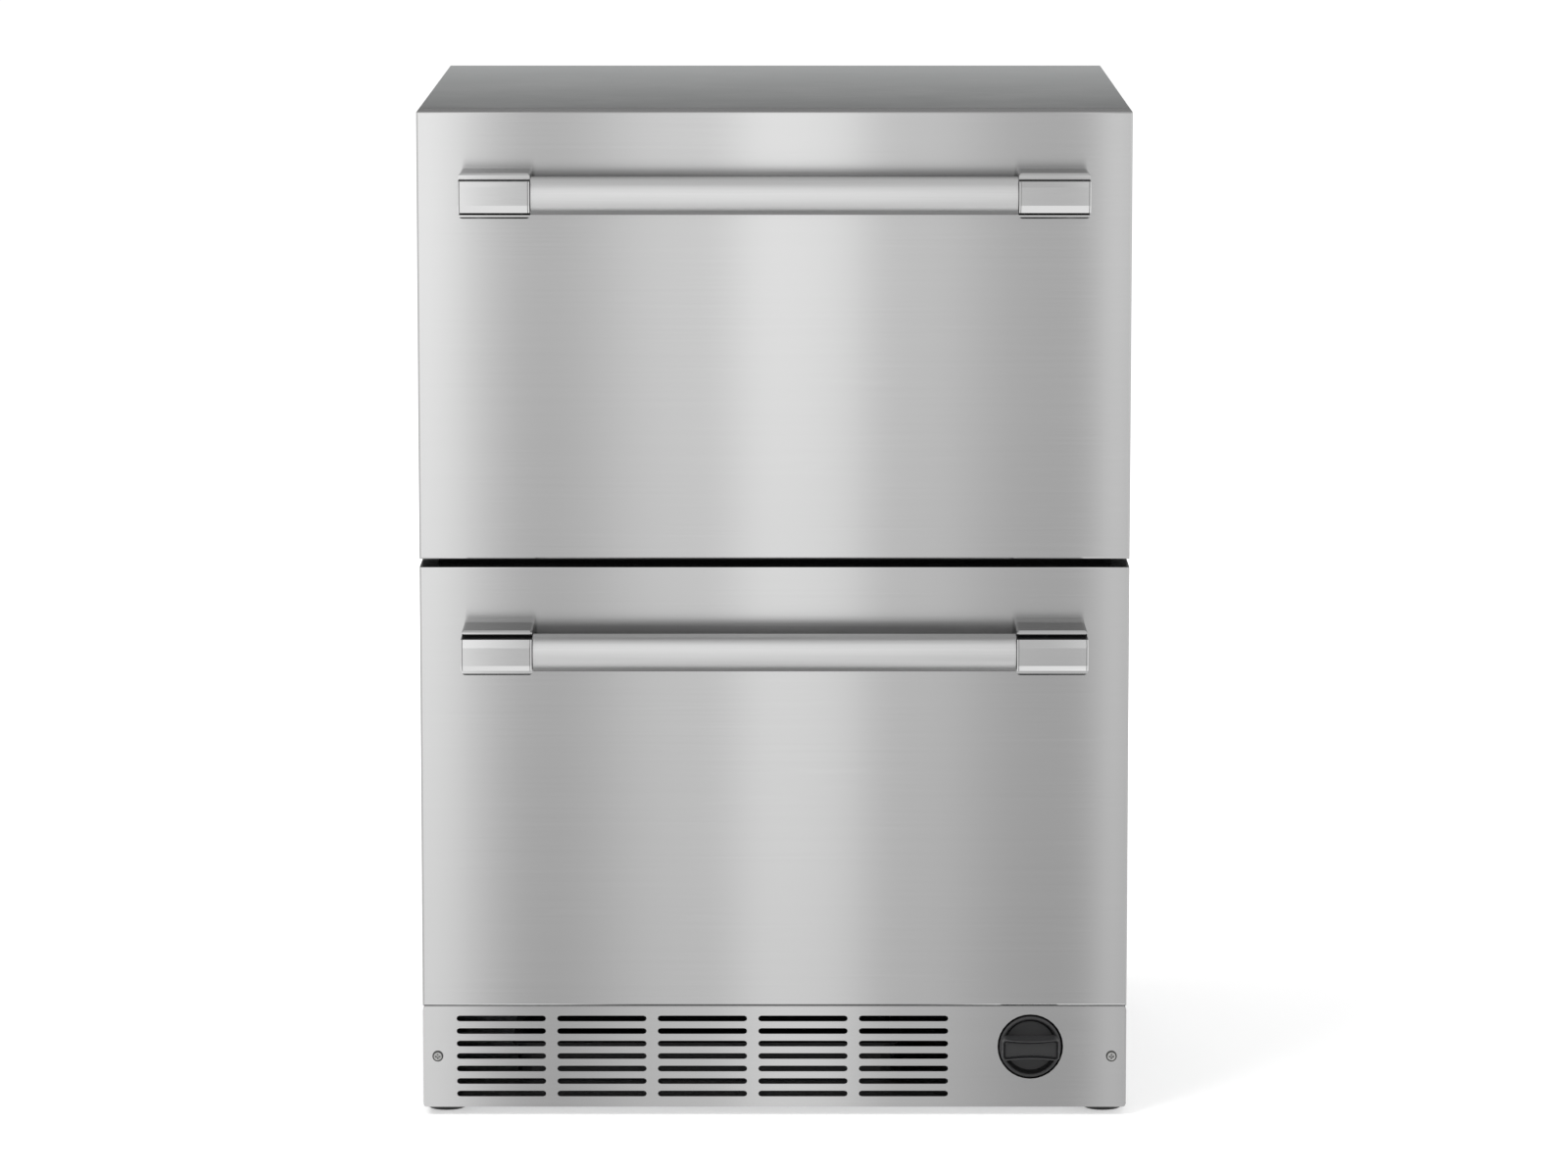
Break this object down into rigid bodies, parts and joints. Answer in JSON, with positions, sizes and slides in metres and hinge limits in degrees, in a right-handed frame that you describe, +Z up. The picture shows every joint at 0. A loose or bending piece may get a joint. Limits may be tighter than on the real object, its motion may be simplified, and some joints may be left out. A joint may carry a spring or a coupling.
{
  "type": "undercounter drawer refrigerator",
  "caption": "Undercounter refrigerator with stainless full-extension drawers, bar handles, a slotted kick plate with a twist-out water filter, and levelling feet.",
  "frame": {"origin": "middle of the base on the floor, under the centre of the overall box", "axes": "+X to the right seen from the front, -Y towards the front, +Z up"},
  "size_m": [0.6064, 0.6662, 0.8668],
  "materials": {
    "stainless": "satin",
    "handle_bar": "satin",
    "polished_bracket": "polished",
    "cabinet_steel": "satin",
    "galvanised_steel": "satin",
    "zinc_steel": "satin",
    "liner": "satin",
    "bin_plastic": "gloss",
    "black_plastic": "satin",
    "foot_plastic": "matte",
    "gasket_rubber": "matte",
    "insulation_foam": "matte",
    "aluminium": "satin",
    "black_enamel": "gloss",
    "white_plastic": "satin",
    "filter_plastic": "gloss",
    "lens": "gloss"
  },
  "bodies": {
    "cabinet": {"cabinet_shell": "cabinet_steel", "insulation": "insulation_foam", "upper_liner": "liner", "lower_liner": "liner", "mullion_trim": "black_plastic", "machine_bulkhead": "galvanised_steel", "back_panel": "galvanised_steel", "machine_cover": "galvanised_steel", "control_panel": "black_plastic", "light_bar": "lens", "kick_plate": "stainless", "base_pan": "galvanised_steel", "kick_screw_left": "zinc_steel", "kick_screw_right": "zinc_steel", "filter_head": "white_plastic", "water_valve": "white_plastic", "compressor": "black_enamel", "condenser": "aluminium", "condenser_fan_housing": "black_plastic", "drain_pan": "black_plastic", "power_inlet": "black_plastic", "evaporator": "aluminium", "evaporator_cover": "liner", "ice_maker": "white_plastic", "upper_rail_left": "zinc_steel", "upper_rail_right": "zinc_steel", "lower_rail_left": "zinc_steel", "lower_rail_right": "zinc_steel"},
    "upper_drawer": {"upper_front_panel": "stainless", "upper_front_core": "liner", "upper_gasket": "gasket_rubber", "upper_handle_bar": "handle_bar", "upper_handle_bracket_left": "polished_bracket", "upper_handle_bracket_right": "polished_bracket", "upper_bin": "bin_plastic", "upper_runner_left": "zinc_steel", "upper_runner_right": "zinc_steel"},
    "upper_slides": {"upper_middle_slide_left": "zinc_steel", "upper_middle_slide_right": "zinc_steel"},
    "lower_drawer": {"lower_front_panel": "stainless", "lower_front_core": "liner", "lower_gasket": "gasket_rubber", "lower_handle_bar": "handle_bar", "lower_handle_bracket_left": "polished_bracket", "lower_handle_bracket_right": "polished_bracket", "lower_bin": "bin_plastic", "lower_runner_left": "zinc_steel", "lower_runner_right": "zinc_steel"},
    "lower_slides": {"lower_middle_slide_left": "zinc_steel", "lower_middle_slide_right": "zinc_steel"},
    "filter": {"water_filter": "filter_plastic"},
    "cap": {"filter_cap": "black_plastic"},
    "foot_fl": {"foot_front_left": "foot_plastic"},
    "foot_fr": {"foot_front_right": "foot_plastic"},
    "foot_rl": {"foot_rear_left": "foot_plastic"},
    "foot_rr": {"foot_rear_right": "foot_plastic"},
    "condenser_fan": {"condenser_fan_rotor": "black_plastic"},
    "evaporator_fan": {"evaporator_fan_rotor": "white_plastic"},
    "ejector": {"ice_ejector": "white_plastic"},
    "level_arm": {"ice_level_arm": "zinc_steel"}
  },
  "joints": [
    {"name": "upper_drawer_slide", "type": "slide", "parent": "cabinet", "child": "upper_drawer", "axis": [0, -1, 0], "range_m": [0, 0.45]},
    {"name": "upper_middle_slide", "type": "slide", "parent": "cabinet", "child": "upper_slides", "axis": [0, -1, 0], "range_m": [0, 0.225]},
    {"name": "lower_drawer_slide", "type": "slide", "parent": "cabinet", "child": "lower_drawer", "axis": [0, -1, 0], "range_m": [0, 0.29]},
    {"name": "lower_middle_slide", "type": "slide", "parent": "cabinet", "child": "lower_slides", "axis": [0, -1, 0], "range_m": [0, 0.145]},
    {"name": "filter_slide", "type": "slide", "parent": "cabinet", "child": "filter", "axis": [0, -1, 0], "range_m": [0, 0.24]},
    {"name": "filter_cap_turn", "type": "hinge", "parent": "filter", "child": "cap", "pos_m": [0.2205, -0.26985, 0.0605], "axis": [0, -1, 0], "range_deg": [0, 90]},
    {"name": "foot_front_left_screw", "type": "slide", "parent": "cabinet", "child": "foot_fl", "axis": [0, 0, -1], "range_m": [0, 0.022]},
    {"name": "foot_front_right_screw", "type": "slide", "parent": "cabinet", "child": "foot_fr", "axis": [0, 0, -1], "range_m": [0, 0.022]},
    {"name": "foot_rear_left_screw", "type": "slide", "parent": "cabinet", "child": "foot_rl", "axis": [0, 0, -1], "range_m": [0, 0.022]},
    {"name": "foot_rear_right_screw", "type": "slide", "parent": "cabinet", "child": "foot_rr", "axis": [0, 0, -1], "range_m": [0, 0.022]},
    {"name": "condenser_fan_spin", "type": "hinge", "parent": "cabinet", "child": "condenser_fan", "pos_m": [-0.058, 0.24065, 0.0808], "axis": [1, 0, 0], "continuous": true},
    {"name": "evaporator_fan_spin", "type": "hinge", "parent": "cabinet", "child": "evaporator_fan", "pos_m": [0, 0.13215, 0.39682], "axis": [0, 1, 0], "continuous": true},
    {"name": "ice_ejector_turn", "type": "hinge", "parent": "cabinet", "child": "ejector", "pos_m": [-0.19, -0.11985, 0.41365], "axis": [0, 1, 0], "continuous": true},
    {"name": "ice_level_arm_lift", "type": "hinge", "parent": "cabinet", "child": "level_arm", "pos_m": [-0.162, -0.11985, 0.42165], "axis": [0, -1, 0], "range_deg": [0, 40]}
  ],
  "couplings": [
    {"joint": "upper_middle_slide", "follows": "upper_drawer_slide", "ratio": 0.5},
    {"joint": "lower_middle_slide", "follows": "lower_drawer_slide", "ratio": 0.5}
  ]
}
